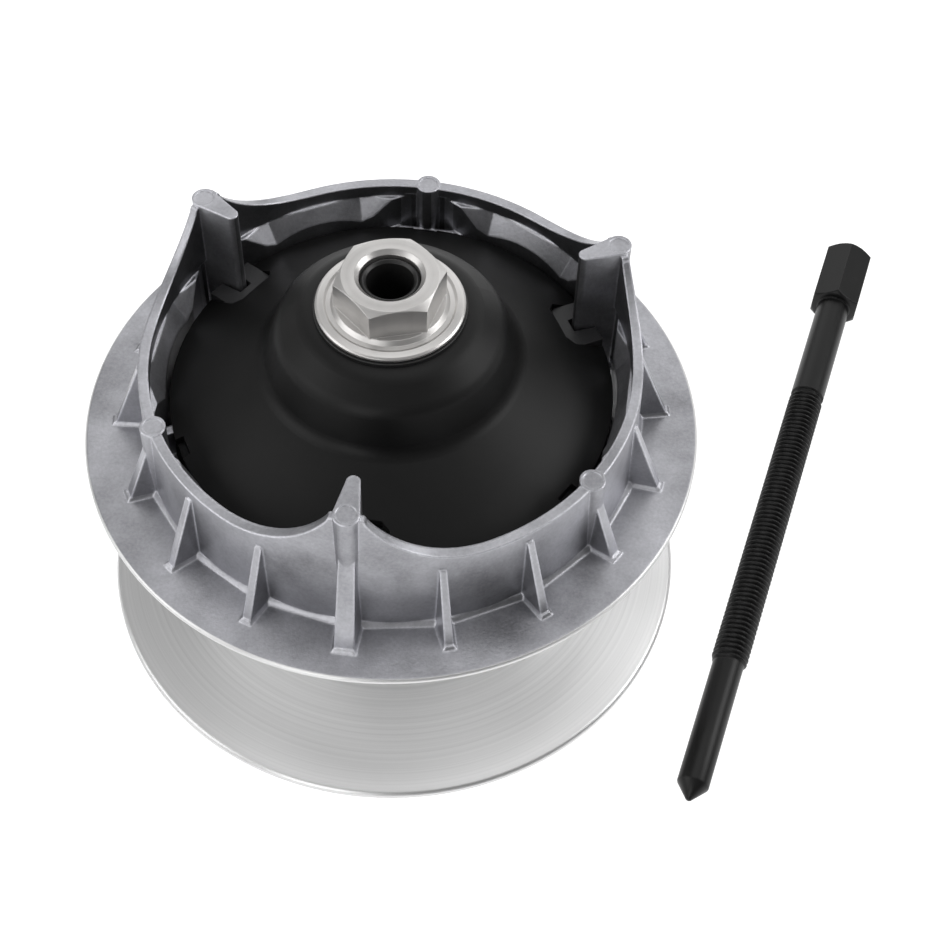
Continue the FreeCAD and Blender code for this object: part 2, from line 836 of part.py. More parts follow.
def build_shoe(index):
    """Black plastic guide shoe that straddles one tower fin."""
    body = new_body(station_name("guide_shoe", index), tower_station(index))
    bottom = 84.0
    top = 96.4
    clear = d.slide_gap + 0.15
    inner = 58.4
    outer = 70.2
    half_width = 9.0
    corner = 2.0
    block = new_sketch(body, "shoe_block", "XY", bottom)
    add_outline(block, [
        (inner, corner - half_width),
        (inner + corner, -half_width),
        (outer, -half_width),
        (outer, half_width),
        (inner + corner, half_width),
        (inner, half_width - corner),
    ])
    pad(body, block, top - bottom)
    slot = new_sketch(body, "shoe_slot", "XY", top + 0.5)
    nose = d.fin_nose + clear
    mouth = d.fin_nose + (d.boss_radius - d.fin_nose) * 0.5 + clear
    add_outline(slot, [
        (d.fin_radius - 2.6, -nose),
        (outer + 0.8, -mouth),
        (outer + 0.8, mouth),
        (d.fin_radius - 2.6, nose),
    ])
    pocket(body, slot, top - bottom + 1.0)


def build_cam_cap():
    """Pressed steel cap: flat crown, rounded shoulder and a sloping notched disc."""
    body = new_body("cam_cap", d.tower_azimuth.value)
    crown = (26.5, d.cap_top)
    shoulder = (35.6, 123.0)
    fold = (d.cap_fold_radius, d.cap_fold_height)
    crown_under = (25.6, d.cap_top - d.cap_gauge)
    shoulder_under = (33.6, 121.4)
    fold_under = (d.cap_fold_radius - 0.9, cap_under(d.cap_fold_radius - 0.9))
    profile = new_sketch(body, "cap_section", "XZ")
    add_outline(profile, [
        (d.stud_radius, d.cap_top),
        crown,
        shoulder,
        fold,
        (d.cap_radius, d.cap_rim_height),
        (d.cap_radius, cap_under(d.cap_radius)),
        fold_under,
        shoulder_under,
        crown_under,
        (d.stud_radius, d.cap_top - d.cap_gauge),
    ])
    spin(body, profile)
    bends = ((crown, 9.0), (shoulder, 8.0), (crown_under, 6.5),
             (shoulder_under, 5.5), (fold, 7.0), (fold_under, 9.5))
    for place, radius in bends:
        round_edges(body, radius, place)

    notch_floor = d.cap_rim_height - 6.0
    notch_depth = 24.0
    outside = d.cap_radius + 3.0
    notch = new_sketch(body, "tower_notch", "XY", notch_floor)
    add_outline(notch, [
        (57.8, -6.4),
        (60.1, -9.3),
        (outside, -9.3),
        (outside, 9.3),
        (60.1, 9.3),
        (57.8, 6.4),
    ])
    repeat(body, [pocket(body, notch, notch_depth, up=True)], STATIONS)
    small = new_sketch(body, "boss_notch", "XY", notch_floor, turn=HALF_STEP)
    add_outline(small, [(68.4, -3.6), (outside, -5.0), (outside, 5.0), (68.4, 3.6)])
    repeat(body, [pocket(body, small, notch_depth, up=True)], STATIONS)


def build_flange_nut():
    """Hexagon nut with a stepped flange."""
    body = new_body("flange_nut", 12.5)
    bottom = d.cap_top + d.washer_gauge
    profile = new_sketch(body, "nut_flange_section", "XZ")
    add_outline(profile, [
        (d.stud_radius, bottom),
        (d.nut_flange - 0.5, bottom),
        (d.nut_flange, bottom + 0.5),
        (d.nut_flange, bottom + 1.3),
        (d.nut_flange - 0.6, bottom + 1.8),
        (20.4, bottom + 2.2),
        (19.6, bottom + 1.7),
        (18.2, bottom + 1.9),
        (17.0, bottom + 3.2),
        (d.stud_radius, bottom + 3.2),
    ])
    spin(body, profile)
    hexagon = new_sketch(body, "nut_hexagon", "XY", bottom + 1.0)
    add_outline(hexagon, polygon(6, d.nut_flats / 2 / cosine(30.0)))
    add_circle(hexagon, d.stud_radius)
    pad(body, hexagon, d.nut_top - bottom - 1.0)
    crown = new_sketch(body, "nut_chamfer", "XZ")
    face = d.nut_flats / 2 - 0.3
    add_outline(crown, [
        (face, d.nut_top),
        (face + 4.3, d.nut_top - 2.6),
        (face + 4.3, d.nut_top + 1.0),
        (face, d.nut_top + 1.0),
    ])
    spin(body, crown, "Groove")
    mouth = new_sketch(body, "nut_mouth", "XZ")
    add_outline(mouth, [
        (d.stud_radius - 0.2, d.nut_top - 1.5),
        (d.stud_radius + 1.6, d.nut_top + 0.2),
        (d.stud_radius - 0.2, d.nut_top + 0.2),
    ])
    spin(body, mouth, "Groove")


def build_puller_bolt():
    """Puller bolt: pilot tip, threaded length, plain shank and hexagon head."""
    body = new_body("puller_bolt")
    thread_start = d.bolt_pilot_length
    thread_end = thread_start + d.bolt_thread_length
    head_start = d.bolt_length - d.bolt_head_length
    chamfer = 0.6
    profile = new_sketch(body, "bolt_section", "XZ")
    add_outline(profile, [
        (0.0, 0.0),
        (0.7, 0.0),
        (d.bolt_pilot_radius, 6.0),
        (d.bolt_pilot_radius, thread_start),
        (d.bolt_thread_radius - chamfer, thread_start),
        (d.bolt_thread_radius, thread_start + chamfer),
        (d.bolt_thread_radius, thread_end),
        (d.bolt_shank_radius, thread_end + chamfer),
        (d.bolt_shank_radius, head_start + 1.0),
        (0.0, head_start + 1.0),
    ])
    spin(body, profile)
    head = new_sketch(body, "bolt_head", "XY", head_start)
    add_outline(head, polygon(6, d.bolt_flats / 2 / cosine(30.0)))
    pad(body, head, d.bolt_head_length)
    face = d.bolt_flats / 2 - 0.3
    outside = face + 4.0
    for name, near, far in (("head_near_chamfer", head_start, head_start - 1.0),
                            ("head_far_chamfer", d.bolt_length, d.bolt_length + 1.0)):
        edge = new_sketch(body, name, "XZ")
        inward = near + (near - far) * 2.3
        add_outline(edge, [(face, near), (face, far), (outside, far), (outside, inward)])
        spin(body, edge, "Groove")
    place_puller_bolt(body)


def place_puller_bolt(body):
    """Lay the bolt on the floor beside the pulley, resting on its thread and a corner of its head."""
    heading = 73.0
    tip_place = Vector(101.9, -98.7, 0.0)
    head_reach = (d.bolt_flats / 2 / cosine(30.0)).value
    thread_start = d.bolt_pilot_length.value
    head_start = d.bolt_length.value - d.bolt_head_length.value + 1.0
    rise = (head_reach - d.bolt_thread_radius.value) / (head_start - thread_start)
    clearance = 0.15
    tip_place.z = d.bolt_thread_radius.value - rise * thread_start + clearance
    tilt = 90.0 - math.degrees(math.atan(rise))
    lying = Rotation(Vector(0, 0, 1), heading) * Rotation(Vector(0, 1, 0), tilt)
    body.Placement = Placement(tip_place, lying)


def check_and_export():
    """Refuse broken objects, then write one file per piece."""
    document.recompute()
    for item in document.Objects:
        if "Invalid" in item.State or "Error" in item.State:
            raise RuntimeError("failed feature: {} {}".format(item.Label, item.State))
    for body in exports:
        if body.Shape.isNull() or not body.Shape.isValid():
            raise RuntimeError("bad shape: " + body.Label)
    os.makedirs("parts", exist_ok=True)
    for body in exports:
        body.Shape.exportStep("parts/{}.step".format(body.Label))


build_fixed_sheave()
build_drive_shaft()
build_sheave_screws()
build_idler_sleeve()
ring_body("idler_bearing", d.sleeve_radius, d.bearing_radius, HUB_FACE + 1.2, IDLER_TOP - 1.6)
build_snap_ring()
build_idler_ring()
build_spring()
ring_body("spring_seat", d.bush_radius + 0.6, d.spring_radius + 3.0, SPRING_SEAT, d.counterbore_height)
add_moving_details(build_moving_sheave())
ring_body("lower_bushing", d.shaft_radius + d.running_gap, d.bush_radius,
          d.counterbore_height, d.counterbore_height + d.bush_length)
ring_body("upper_bushing", d.shaft_radius + d.running_gap, d.bush_radius,
          d.hub_top - 1.0 - d.bush_length, d.hub_top - 1.0)
for station in range(STATIONS):
    build_block(station)
    build_roller(station)
    build_roller_pin(station)
    build_ramp(station)
    build_shoe(station)
build_cam_cap()
ring_body("cap_washer", d.stud_radius, d.nut_flange + 0.6, d.cap_top, d.cap_top + d.washer_gauge)
build_flange_nut()
build_puller_bolt()
check_and_export()
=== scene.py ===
import json
import math

import bmesh
import bpy
from mathutils import Matrix, Vector


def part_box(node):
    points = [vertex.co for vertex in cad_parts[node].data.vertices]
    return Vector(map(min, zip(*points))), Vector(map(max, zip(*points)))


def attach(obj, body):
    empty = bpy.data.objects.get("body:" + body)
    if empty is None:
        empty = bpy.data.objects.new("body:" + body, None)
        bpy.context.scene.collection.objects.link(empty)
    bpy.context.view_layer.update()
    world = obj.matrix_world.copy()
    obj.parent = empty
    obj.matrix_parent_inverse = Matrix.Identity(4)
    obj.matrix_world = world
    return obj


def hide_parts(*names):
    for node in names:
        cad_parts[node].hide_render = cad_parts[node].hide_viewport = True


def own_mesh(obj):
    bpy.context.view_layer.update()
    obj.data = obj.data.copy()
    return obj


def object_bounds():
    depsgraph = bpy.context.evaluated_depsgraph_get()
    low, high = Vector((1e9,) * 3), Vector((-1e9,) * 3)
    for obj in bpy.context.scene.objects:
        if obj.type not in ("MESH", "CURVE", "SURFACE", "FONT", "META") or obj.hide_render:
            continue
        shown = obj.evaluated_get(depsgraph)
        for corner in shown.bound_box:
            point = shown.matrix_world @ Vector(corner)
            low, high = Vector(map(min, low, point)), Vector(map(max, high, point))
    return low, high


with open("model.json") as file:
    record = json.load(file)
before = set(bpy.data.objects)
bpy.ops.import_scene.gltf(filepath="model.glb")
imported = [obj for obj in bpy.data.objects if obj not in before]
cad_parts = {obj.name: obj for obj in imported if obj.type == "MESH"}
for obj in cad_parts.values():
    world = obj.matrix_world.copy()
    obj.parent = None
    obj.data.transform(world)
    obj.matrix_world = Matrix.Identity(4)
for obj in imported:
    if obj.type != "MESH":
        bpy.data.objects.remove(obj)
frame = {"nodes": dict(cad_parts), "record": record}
CAD_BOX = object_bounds()
NODES = frame["nodes"]
MM = 0.001

# Distances from the pulley axis at which the castings turn from cast skin to machined metal.
BELT_FACE_START = 34.5 * MM
RIM_START = 99.3 * MM

BEVEL_SAMPLES = 6


# ---------------------------------------------------------------- node helpers

def new_material(name):
    """Material with a principled surface; returns the material, its nodes and that surface."""
    material = bpy.data.materials.new(name)
    material.use_nodes = True
    tree = material.node_tree
    return material, tree, tree.nodes["Principled BSDF"]


def add_node(tree, kind, **settings):
    """New shader node with the given properties."""
    node = tree.nodes.new(kind)
    for key, value in settings.items():
        setattr(node, key, value)
    return node


def math_node(tree, operation, first, second=None, clamp=False):
    """One arithmetic step; each input is a socket or a plain number."""
    node = add_node(tree, "ShaderNodeMath", operation=operation, use_clamp=clamp)
    for index, value in enumerate((first, second)):
        if value is None:
            continue
        if isinstance(value, (int, float)):
            node.inputs[index].default_value = value
        else:
            tree.links.new(value, node.inputs[index])
    return node.outputs[0]


def object_point(tree):
    return add_node(tree, "ShaderNodeTexCoord").outputs["Object"]


def object_normal(tree):
    return add_node(tree, "ShaderNodeTexCoord").outputs["Normal"]


def split(tree, vector):
    node = add_node(tree, "ShaderNodeSeparateXYZ")
    tree.links.new(vector, node.inputs[0])
    return node.outputs


def radius_from_axis(tree, point):
    """Distance of a shaded point from the pulley axis."""
    x, y, _ = split(tree, point)
    x_square = math_node(tree, "MULTIPLY", x, x)
    y_square = math_node(tree, "MULTIPLY", y, y)
    return math_node(tree, "SQRT", math_node(tree, "ADD", x_square, y_square))


def noise(tree, vector, scale, detail=4.0, roughness=0.55):
    """Smooth noise from 0 to 1; scale is in features per metre."""
    node = add_node(tree, "ShaderNodeTexNoise")
    node.inputs["Scale"].default_value = scale
    node.inputs["Detail"].default_value = detail
    node.inputs["Roughness"].default_value = roughness
    tree.links.new(vector, node.inputs["Vector"])
    return node.outputs["Fac"]


def ring_noise(tree, radius, scale):
    """Noise that only changes with distance from the axis, like turning marks."""
    combine = add_node(tree, "ShaderNodeCombineXYZ")
    tree.links.new(radius, combine.inputs[0])
    return noise(tree, combine.outputs[0], scale, detail=3.0)


def ramp(tree, factor, stops):
    """Colour ramp from (position, colour) pairs."""
    node = add_node(tree, "ShaderNodeValToRGB")
    elements = node.color_ramp.elements
    while len(elements) < len(stops):
        elements.new(0.5)
    for element, (position, colour) in zip(elements, stops):
        element.position = position
        element.color = tuple(colour) + (1.0,)
    tree.links.new(factor, node.inputs[0])
    return node.outputs[0]


def grey(value, warm=0.0):
    """Grey, tinted a little towards red when warm is set."""
    return (value * (1.0 + warm), value, value * (1.0 - warm))


def cool(value):
    """Grey with the faint blue of aluminium."""
    return (value * 0.98, value * 0.983, value * 1.045)


def remap(tree, factor, low, high):
    """Stretch a 0 to 1 socket to run from low to high."""
    node = add_node(tree, "ShaderNodeMapRange")
    node.inputs["To Min"].default_value = low
    node.inputs["To Max"].default_value = high
    tree.links.new(factor, node.inputs["Value"])
    return node.outputs[0]


def mix_value(tree, mask, low, high):
    """Mask 0 gives low, mask 1 gives high; both are sockets."""
    node = add_node(tree, "ShaderNodeMix", data_type="FLOAT")
    tree.links.new(mask, node.inputs[0])
    tree.links.new(low, node.inputs[2])
    tree.links.new(high, node.inputs[3])
    return node.outputs[0]


def mix_colour(tree, mask, low, high):
    """Mask 0 gives the colour low, mask 1 gives the colour high."""
    node = add_node(tree, "ShaderNodeMix", data_type="RGBA")
    tree.links.new(mask, node.inputs[0])
    tree.links.new(low, node.inputs[6])
    tree.links.new(high, node.inputs[7])
    return node.outputs[2]


def vector_node(tree, operation, first, second):
    node = add_node(tree, "ShaderNodeVectorMath", operation=operation)
    tree.links.new(first, node.inputs[0])
    tree.links.new(second, node.inputs[1])
    return node


def weighted(tree, *shares):
    """Sum of sockets, each times its share."""
    total = None
    for socket, share in shares:
        part = math_node(tree, "MULTIPLY", socket, share)
        total = part if total is None else math_node(tree, "ADD", total, part)
    return total


def rounded_normal(tree, edge):
    """Surface normal with its sharp edges rounded over a distance, for shading only."""
    bevel = add_node(tree, "ShaderNodeBevel", samples=BEVEL_SAMPLES)
    bevel.inputs["Radius"].default_value = edge
    return bevel.outputs[0]


def edge_wear_and_highlight_mask(tree, edge):
    """1 along sharp edges, fading to 0 on the faces beside them."""
    plain = add_node(tree, "ShaderNodeNewGeometry").outputs["True Normal"]
    match = vector_node(tree, "DOT_PRODUCT", rounded_normal(tree, edge), plain).outputs["Value"]
    node = add_node(tree, "ShaderNodeMapRange", interpolation_type="SMOOTHSTEP")
    node.inputs["From Min"].default_value = 0.99
    node.inputs["From Max"].default_value = 0.80
    tree.links.new(match, node.inputs["Value"])
    return node.outputs[0]


def bumped(tree, surface, height, strength, depth, edge=0.0):
    """Bump the surface, over edges that are rounded for shading only when edge is set."""
    bump = add_node(tree, "ShaderNodeBump")
    bump.inputs["Strength"].default_value = strength
    bump.inputs["Distance"].default_value = depth
    tree.links.new(height, bump.inputs["Height"])
    if edge:
        tree.links.new(rounded_normal(tree, edge), bump.inputs["Normal"])
    tree.links.new(bump.outputs[0], surface.inputs["Normal"])


# ---------------------------------------------------------------- materials

def turned_mask(tree, radius, face_sign):
    """1 on the turned belt face and the rim, 0 on the cast skin."""
    tilt = math_node(tree, "MULTIPLY", split(tree, object_normal(tree))[2], face_sign)
    facing = math_node(tree, "GREATER_THAN", tilt, 0.6)
    outside = math_node(tree, "GREATER_THAN", radius, BELT_FACE_START)
    rim = math_node(tree, "GREATER_THAN", radius, RIM_START)
    return math_node(tree, "MAXIMUM", math_node(tree, "MULTIPLY", facing, outside), rim)


def inward_mask(tree, point):
    """1 on walls that face the pulley axis."""
    x, y, _ = split(tree, point)
    level = add_node(tree, "ShaderNodeCombineXYZ")
    tree.links.new(x, level.inputs[0])
    tree.links.new(y, level.inputs[1])
    outward = add_node(tree, "ShaderNodeVectorMath", operation="NORMALIZE")
    tree.links.new(level.outputs[0], outward.inputs[0])
    match = vector_node(tree, "DOT_PRODUCT", object_normal(tree), outward.outputs[0])
    return math_node(tree, "LESS_THAN", match.outputs["Value"], -0.92)


def cast_material(name, face_sign):
    """Cast aluminium: wavy skin, painted shade on the inner walls, edges lightened partly by wear
    and partly by a painted highlight, turned belt face.

    face_sign is 1 where the belt face looks up and -1 where it looks down.
    """
    material, tree, surface = new_material(name)
    point = object_point(tree)
    radius = radius_from_axis(tree, point)
    turned = turned_mask(tree, radius, face_sign)

    wave = noise(tree, point, 22.0, detail=2.0)
    blotch = noise(tree, point, 70.0, detail=6.0)
    grain = noise(tree, point, 900.0, detail=3.0, roughness=0.7)
    mottled = weighted(tree, (wave, 0.45), (blotch, 0.35), (grain, 0.20))
    cast = ramp(tree, mottled, [
        (0.32, cool(0.22)), (0.45, cool(0.35)), (0.56, cool(0.46)), (0.68, cool(0.60)),
    ])
    # Lighter colour along sharp edges: partly rubbed wear, partly a painted highlight where light
    # catches crests and rib feet.
    wear_and_highlight = edge_wear_and_highlight_mask(tree, 1.3 * MM)
    rubbed_and_highlit = ramp(tree, grain, [(0.3, cool(0.60)), (0.7, cool(0.82))])
    worn_and_highlit = mix_colour(tree, wear_and_highlight, cast, rubbed_and_highlit)

    # Painted shade: walls that face the axis get a darker colour, standing for shadow and the dark
    # cap reflected in them.
    painted_shade = ramp(tree, mottled, [(0.35, cool(0.08)), (0.65, cool(0.20))])
    painted_shade_amount = math_node(tree, "MULTIPLY", inward_mask(tree, point), 0.7)
    off_edges = math_node(tree, "SUBTRACT", 1.0, wear_and_highlight)
    skin = mix_colour(tree, math_node(tree, "MULTIPLY", painted_shade_amount, off_edges), worn_and_highlit, painted_shade)

    rings = ring_noise(tree, radius, 900.0)
    bright = ramp(tree, rings, [(0.25, grey(0.60)), (0.50, grey(0.69)), (0.75, grey(0.78))])
    tree.links.new(mix_colour(tree, turned, skin, bright), surface.inputs["Base Color"])

    surface.inputs["Metallic"].default_value = 0.92
    rough = remap(tree, mottled, 0.26, 0.48)
    smooth = remap(tree, rings, 0.26, 0.38)
    tree.links.new(mix_value(tree, turned, rough, smooth), surface.inputs["Roughness"])

    relief = weighted(tree, (wave, 4.5), (blotch, 0.8), (grain, 0.24))
    rings_height = math_node(tree, "MULTIPLY", rings, 0.04)
    height = mix_value(tree, turned, relief, rings_height)
    bumped(tree, surface, height, 0.5, 0.5 * MM, edge=1.1 * MM)
    return material


def black_material(name, base, gloss, grain_scale, grain_depth,
                   edge=0.4, metal=0.0, shine=0.5, wear_and_highlight=0.0):
    """Dark coating with slight changes of tone, a fine skin and optional lighter edges, partly
    rubbed wear and partly a painted highlight.

    grain_depth and edge, the width of the rounding, are in millimetres.
    """
    material, tree, surface = new_material(name)
    point = object_point(tree)
    cloud = noise(tree, point, 24.0, detail=5.0)
    grain = noise(tree, point, grain_scale, detail=3.0, roughness=0.6)
    tone = ramp(tree, cloud, [
        (0.28, grey(base * 0.75)), (0.52, grey(base)), (0.80, grey(base * 1.5, 0.03)),
    ])
    if wear_and_highlight:
        # Lighter bare metal along sharp edges: partly rubbed wear, partly a painted highlight.
        rubbed_and_highlit = math_node(tree, "MULTIPLY", edge_wear_and_highlight_mask(tree, edge * MM), wear_and_highlight)
        bare_metal_and_highlight = ramp(tree, grain, [(0.3, grey(0.12)), (0.7, grey(0.24))])
        tone = mix_colour(tree, rubbed_and_highlit, tone, bare_metal_and_highlight)
    tree.links.new(tone, surface.inputs["Base Color"])
    tree.links.new(remap(tree, cloud, gloss - 0.05, gloss + 0.07), surface.inputs["Roughness"])
    surface.inputs["Metallic"].default_value = metal
    surface.inputs["Specular IOR Level"].default_value = shine
    relief = weighted(tree, (grain, 1.0), (cloud, 2.5))
    bumped(tree, surface, relief, 0.35, grain_depth * MM, edge=edge * MM)
    return material


def steel_material(name, base, low_gloss, high_gloss, ring_scale, edge=0.35, warm=0.0):
    """Turned or ground steel: tone and relief follow rings round the pulley axis, gloss changes in
    soft clouds.

    edge, the width of the rounding, is in millimetres.
    """
    material, tree, surface = new_material(name)
    point = object_point(tree)
    radius = radius_from_axis(tree, point)
    rings = ring_noise(tree, radius, ring_scale)
    cloud = noise(tree, point, 60.0, detail=5.0)
    grain = noise(tree, point, 1500.0, detail=2.0)
    blend = weighted(tree, (rings, 0.5), (cloud, 0.5))
    tone = ramp(tree, blend, [
        (0.30, grey(base * 0.80, warm)), (0.50, grey(base, warm)), (0.72, grey(base * 1.12, warm)),
    ])
    tree.links.new(tone, surface.inputs["Base Color"])
    surface.inputs["Metallic"].default_value = 0.92
    tree.links.new(remap(tree, cloud, low_gloss, high_gloss), surface.inputs["Roughness"])
    height = weighted(tree, (rings, 0.6), (grain, 0.4), (cloud, 1.6))
    bumped(tree, surface, height, 0.3, 0.08 * MM, edge=edge * MM)
    return material


def polymer_material(name, base, gloss):
    """Moulded plastic with a fine spark-eroded skin."""
    material, tree, surface = new_material(name)
    point = object_point(tree)
    grain = noise(tree, point, 1800.0, detail=4.0, roughness=0.7)
    cloud = noise(tree, point, 45.0)
    darker = [channel * 0.8 for channel in base]
    lighter = [channel * 1.25 for channel in base]
    tone = ramp(tree, cloud, [(0.30, darker), (0.55, base), (0.80, lighter)])
    tree.links.new(tone, surface.inputs["Base Color"])
    tree.links.new(remap(tree, grain, gloss - 0.05, gloss + 0.08), surface.inputs["Roughness"])
    bumped(tree, surface, grain, 0.4, 0.06 * MM, edge=0.4 * MM)
    return material


def paint(name, material):
    """Give a carried-over CAD node its material."""
    item = NODES[name]
    item.data.materials.clear()
    item.data.materials.append(material)


def paint_nodes():
    """Finish every CAD node; returns the spring steel for the wound spring."""
    cast_up = cast_material("cast_aluminium_fixed", 1.0)
    cast_down = cast_material("cast_aluminium_sliding", -1.0)
    cap = black_material("black_cap_coating", 0.007, 0.42, 700.0, 0.05, shine=0.20, wear_and_highlight=0.22)
    phosphate = black_material("phosphated_steel", 0.02, 0.34, 1200.0, 0.05, metal=0.3, wear_and_highlight=0.3)
    screws = black_material("screw_black", 0.035, 0.38, 1500.0, 0.04, metal=0.6)
    zinc = steel_material("zinc_plate", 0.56, 0.28, 0.42, 500.0, warm=0.02)
    ground = steel_material("ground_steel", 0.55, 0.18, 0.30, 900.0)
    spring = steel_material("spring_steel", 0.30, 0.30, 0.42, 700.0)
    shoe = polymer_material("shoe_nylon", (0.022, 0.022, 0.023), 0.42)
    liner = polymer_material("bush_liner", (0.16, 0.13, 0.08), 0.50)
    looks = {
        "fixed_sheave": cast_up,
        "moving_sheave": cast_down,
        "cam_cap": cap,
        "cap_washer": phosphate,
        "drive_shaft": phosphate,
        "sheave_screws": screws,
        "flange_nut": zinc,
        "idler_sleeve": ground,
        "idler_bearing": ground,
        "idler_ring": ground,
        "idler_snap_ring": spring,
        "spring_seat": ground,
        "lower_bushing": liner,
        "upper_bushing": liner,
    }
    for k in (1, 2, 3):
        looks["weight_block_{}".format(k)] = ground
        looks["roller_{}".format(k)] = ground
        looks["roller_pin_{}".format(k)] = ground
        looks["cam_ramp_{}".format(k)] = cap
        looks["guide_shoe_{}".format(k)] = shoe
    for name, material in looks.items():
        paint(name, material)
    return spring


# ---------------------------------------------------------------- new pieces

def object_from(bm, name, material, body):
    """Turn a bmesh into a piece that rides on a body."""
    mesh = bpy.data.meshes.new(name)
    bm.normal_update()
    bm.to_mesh(mesh)
    bm.free()
    item = bpy.data.objects.new(name, mesh)
    bpy.context.scene.collection.objects.link(item)
    mesh.materials.append(material)
    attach(item, body)
    return item


def named(rows, name):
    """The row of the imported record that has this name."""
    for row in rows:
        if row["name"] == name:
            return row
    raise KeyError(name)


def skin_rings(bm, rings):
    """Join each ring of corners to the next, and close both ends."""
    for before, after in zip(rings, rings[1:]):
        for k in range(len(before)):
            following = (k + 1) % len(before)
            bm.faces.new((before[k], before[following], after[following], after[k]))
    bm.faces.new(list(reversed(rings[0])))
    bm.faces.new(rings[-1])
    bmesh.ops.recalc_face_normals(bm, faces=bm.faces[:])


def coil_spring(material):
    """Round-wire compression spring with closed ends, carried by the fixed side."""
    sleeve_floor = 3.0 * MM
    seat_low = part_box("idler_sleeve")[0][2] + sleeve_floor
    seat_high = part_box("spring_seat")[0][2]
    wire = 2.0 * MM
    mean = 20.0 * MM
    end_lift = 1.6 * MM
    turns = 6.5
    end_turn = 0.75
    steps = 260
    sides = 12
    up = Vector((0, 0, 1))
    bm = bmesh.new()
    rings = []
    for step in range(steps + 1):
        turn = turns * step / steps
        angle = 2 * math.pi * turn
        start_lift = end_lift * min(turn / end_turn, 1.0)
        stop_lift = end_lift * min((turns - turn) / end_turn, 1.0)
        free = (turn - end_turn) / (turns - 2 * end_turn)
        free = min(max(free, 0.0), 1.0)
        lowest = seat_low + wire + start_lift
        highest = seat_high - wire - stop_lift
        out = Vector((math.cos(angle), math.sin(angle), 0))
        centre = out * mean + up * (lowest + (highest - lowest) * free)
        ring = []
        for side in range(sides):
            around = 2 * math.pi * side / sides
            offset = out * math.cos(around) * wire + up * math.sin(around) * wire
            ring.append(bm.verts.new(centre + offset))
        rings.append(ring)
    skin_rings(bm, rings)
    for face in bm.faces:
        face.smooth = len(face.verts) == 4
    item = object_from(bm, "pressure_spring", material, "fixed_side")
    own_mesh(item)
    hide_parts("clutch_spring")


# The puller bolt, in millimetres along it from its tip.
BOLT_THREAD = (53.2, 177.5)
BOLT_HEAD = (225.5, 254.0)
BOLT_PITCH = 25.4 / 13
BOLT_CREST = 6.35
BOLT_CORE = 5.35
BOLT_PILOT = 5.4
BOLT_SHANK = 6.25
BOLT_FLATS = 17.5
BOLT_CHAMFER = BOLT_FLATS / 2 - 0.3
BOLT_CORNERS = 96
THREAD_STEP = 0.16
CREASE_DEGREES = 28


def thread_radius(station, angle):
    """Radius of the bolt's V thread at a station and angle, running out at both ends."""
    start, end = BOLT_THREAD
    phase = (station / BOLT_PITCH - angle / (2 * math.pi)) % 1.0
    tooth = 1.0 - abs(2.0 * phase - 1.0)
    tooth = min(max((tooth - 0.12) / 0.72, 0.0), 1.0)
    run_out = 1.2 * BOLT_PITCH
    fade = min((station - start) / run_out, (end - station) / run_out, 1.0)
    return BOLT_CORE + (BOLT_CREST - BOLT_CORE) * tooth * max(fade, 0.0)


def hexagon_radius(angle):
    """Distance from the bolt's axis to its head's edge; a corner is at every 60 degrees."""
    step = math.pi / 3
    offset = angle % step
    return BOLT_FLATS / 2 / math.cos(offset - step / 2)


def bolt_stations():
    """The bolt's outline: pairs of a distance from the tip and the radius at each corner."""
    angles = [2 * math.pi * k / BOLT_CORNERS for k in range(BOLT_CORNERS)]
    stations = []

    def round_ring(station, radius):
        stations.append((station, [radius] * BOLT_CORNERS))

    def hex_ring(station, cone):
        stations.append((station, [min(hexagon_radius(angle), cone) for angle in angles]))

    start, end = BOLT_THREAD
    head, length = BOLT_HEAD
    round_ring(0.05, 0.5)
    round_ring(0.3, 0.9)
    round_ring(5.8, BOLT_PILOT - 0.15)
    round_ring(6.2, BOLT_PILOT)
    round_ring(30.0, BOLT_PILOT)
    round_ring(start, BOLT_PILOT)
    steps = int(round((end - start) / THREAD_STEP))
    for step in range(steps + 1):
        station = start + (end - start) * step / steps
        stations.append((station, [thread_radius(station, angle) for angle in angles]))
    round_ring(end + 0.5, BOLT_SHANK)
    round_ring(200.0, BOLT_SHANK)
    round_ring(head - 0.4, BOLT_SHANK)
    round_ring(head, BOLT_SHANK + 0.4)
    hex_ring(head + 0.05, BOLT_CHAMFER)
    bands = (0.2, 0.4, 0.6, 0.8, 1.0, 1.2)
    for band in bands:
        hex_ring(head + band, BOLT_CHAMFER + band * 1.35)
    hex_ring(head + 14.0, 20.0)
    for band in reversed(bands):
        hex_ring(length - band, BOLT_CHAMFER + band * 1.35)
    hex_ring(length, BOLT_CHAMFER)
    round_ring(length, BOLT_CHAMFER - 0.8)
    round_ring(length - 0.2, BOLT_CHAMFER - 1.1)
    return stations


def bolt_placement():
    """From the bolt's own millimetres, its tip at the origin, to where its mount says it lies."""
    mount = named(frame["record"]["mounts"], "puller_bolt_thread")
    along = -Vector(mount["axis"]).normalized()
    tip = Vector(mount["pos_m"]) - along * (sum(BOLT_THREAD) / 2) * MM
    across = along.cross(Vector((0, 0, 1))).normalized()
    upward = across.cross(along).normalized()
    basis = Matrix((-upward, across, along)).transposed().to_4x4()
    if basis.to_3x3().determinant() < 0:
        basis = Matrix((-upward, -across, along)).transposed().to_4x4()
    return Matrix.Translation(tip) @ basis @ Matrix.Scale(MM, 4)


